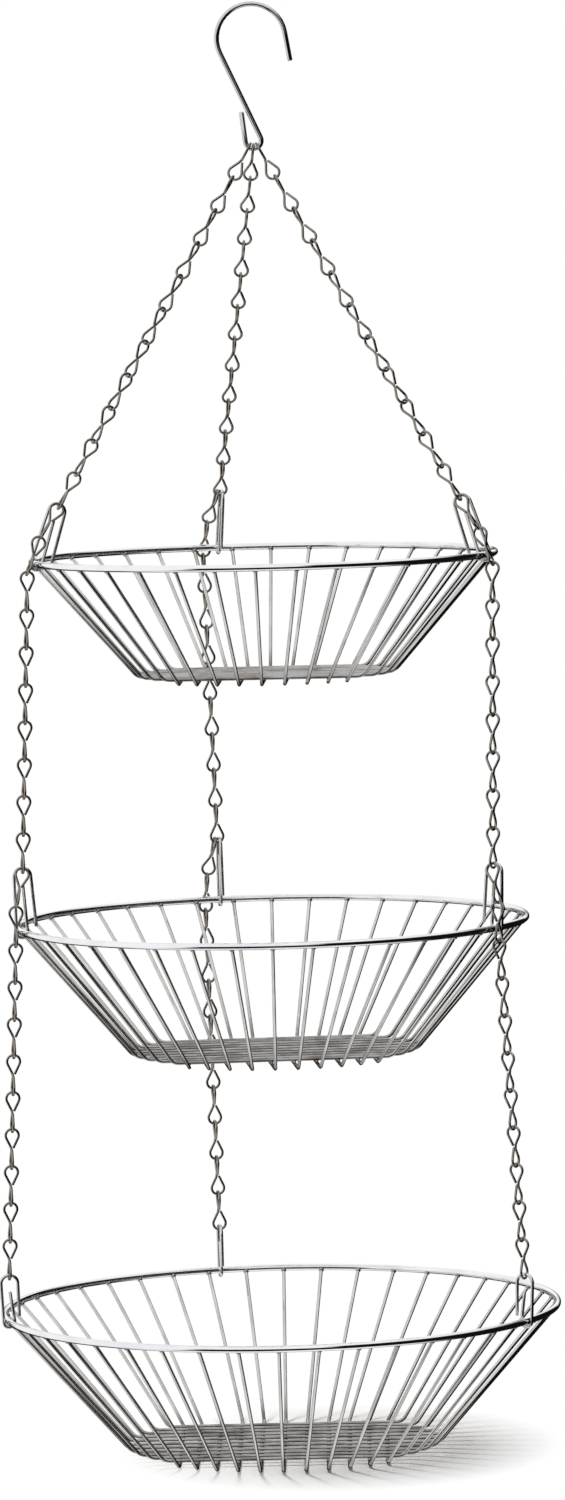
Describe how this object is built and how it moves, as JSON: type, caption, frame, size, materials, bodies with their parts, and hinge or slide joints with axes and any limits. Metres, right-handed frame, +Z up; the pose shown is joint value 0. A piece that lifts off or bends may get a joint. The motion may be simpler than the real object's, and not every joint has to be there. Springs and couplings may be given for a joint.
{
  "type": "hanging fruit basket",
  "caption": "Three-tier hanging basket of chromed wire: round welded-wire bowls clipped to chains under one S-hook.",
  "frame": {"origin": "inside top of the S-hook's upper bend, where it sits on what holds it", "axes": "+Z up, +X to the right and +Y to the back as seen from the front, with the S-hook in the XZ plane"},
  "size_m": [0.3048, 0.3048, 0.7854],
  "materials": {
    "hook_wire": "bright chrome plate",
    "chain_wire": "bright chrome plate",
    "clip_wire": "bright chrome plate",
    "rim_wire": "bright chrome plate",
    "cage_wire": "bright chrome plate"
  },
  "bodies": {
    "hook": {"s_hook": "hook_wire"},
    "top_tier": {"upper_chain_left": "chain_wire", "upper_chain_right": "chain_wire", "upper_chain_back": "chain_wire", "top_rim": "rim_wire", "top_cross_wires": "cage_wire", "top_depth_wires": "cage_wire", "top_clip_left": "clip_wire", "top_clip_right": "clip_wire", "top_clip_back": "clip_wire", "top_passing_links_left": "chain_wire", "top_passing_links_right": "chain_wire", "top_passing_links_back": "chain_wire"},
    "middle_chain_left": {"middle_chain_left": "chain_wire"},
    "middle_chain_right": {"middle_chain_right": "chain_wire"},
    "middle_chain_back": {"middle_chain_back": "chain_wire"},
    "middle_tier": {"middle_rim": "rim_wire", "middle_cross_wires": "cage_wire", "middle_depth_wires": "cage_wire", "middle_clip_left": "clip_wire", "middle_clip_right": "clip_wire", "middle_clip_back": "clip_wire", "middle_passing_links_left": "chain_wire", "middle_passing_links_right": "chain_wire", "middle_passing_links_back": "chain_wire"},
    "lower_chain_left": {"lower_chain_left": "chain_wire"},
    "lower_chain_right": {"lower_chain_right": "chain_wire"},
    "lower_chain_back": {"lower_chain_back": "chain_wire"},
    "bottom_tier": {"bottom_rim": "rim_wire", "bottom_cross_wires": "cage_wire", "bottom_depth_wires": "cage_wire", "bottom_clip_left": "clip_wire", "bottom_clip_right": "clip_wire", "bottom_clip_back": "clip_wire"}
  },
  "joints": [
    {"name": "hook_swing", "type": "hinge", "parent": "hook", "child": "top_tier", "pos_m": [0, 0, -0.07643], "axis": [1, 0, 0], "range_deg": [-15, 15]},
    {"name": "middle_sway", "type": "hinge", "parent": "top_tier", "child": "middle_chain_left", "pos_m": [-0.12669, -0.03582, -0.30068], "axis": [0, 1, 0], "range_deg": [-12, 12]},
    {"name": "middle_right_chain_swing", "type": "hinge", "parent": "top_tier", "child": "middle_chain_right", "pos_m": [0.12225, -0.04886, -0.30068], "axis": [0, 1, 0], "range_deg": [-12.5, 12.5]},
    {"name": "middle_back_chain_swing", "type": "hinge", "parent": "top_tier", "child": "middle_chain_back", "pos_m": [-0.0336, 0.1273, -0.30068], "axis": [0, 1, 0], "range_deg": [-12.5, 12.5]},
    {"name": "middle_basket_levelling", "type": "hinge", "parent": "middle_chain_left", "child": "middle_tier", "pos_m": [-0.13363, -0.02962, -0.46064], "axis": [0.0545, 0.9985, 0], "range_deg": [-12.5, 12.5]},
    {"name": "lower_sway", "type": "hinge", "parent": "middle_tier", "child": "lower_chain_left", "pos_m": [-0.13813, -0.03718, -0.50069], "axis": [0, 1, 0], "range_deg": [-12, 12]},
    {"name": "lower_right_chain_swing", "type": "hinge", "parent": "middle_tier", "child": "lower_chain_right", "pos_m": [0.12055, -0.07699, -0.50069], "axis": [0, 1, 0], "range_deg": [-12.5, 12.5]},
    {"name": "lower_back_chain_swing", "type": "hinge", "parent": "middle_tier", "child": "lower_chain_back", "pos_m": [-0.03718, 0.13813, -0.50069], "axis": [0, 1, 0], "range_deg": [-12.5, 12.5]},
    {"name": "bottom_basket_levelling", "type": "hinge", "parent": "lower_chain_left", "child": "bottom_tier", "pos_m": [-0.14656, -0.03115, -0.68077], "axis": [0.0246, 0.9997, 0], "range_deg": [-12.5, 12.5]}
  ],
  "couplings": [
    {"joint": "middle_right_chain_swing", "follows": "middle_sway", "ratio": 1},
    {"joint": "middle_back_chain_swing", "follows": "middle_sway", "ratio": 1},
    {"joint": "middle_basket_levelling", "follows": "middle_sway", "ratio": -0.98047},
    {"joint": "lower_right_chain_swing", "follows": "lower_sway", "ratio": 1},
    {"joint": "lower_back_chain_swing", "follows": "lower_sway", "ratio": 1},
    {"joint": "bottom_basket_levelling", "follows": "lower_sway", "ratio": -0.93071}
  ]
}
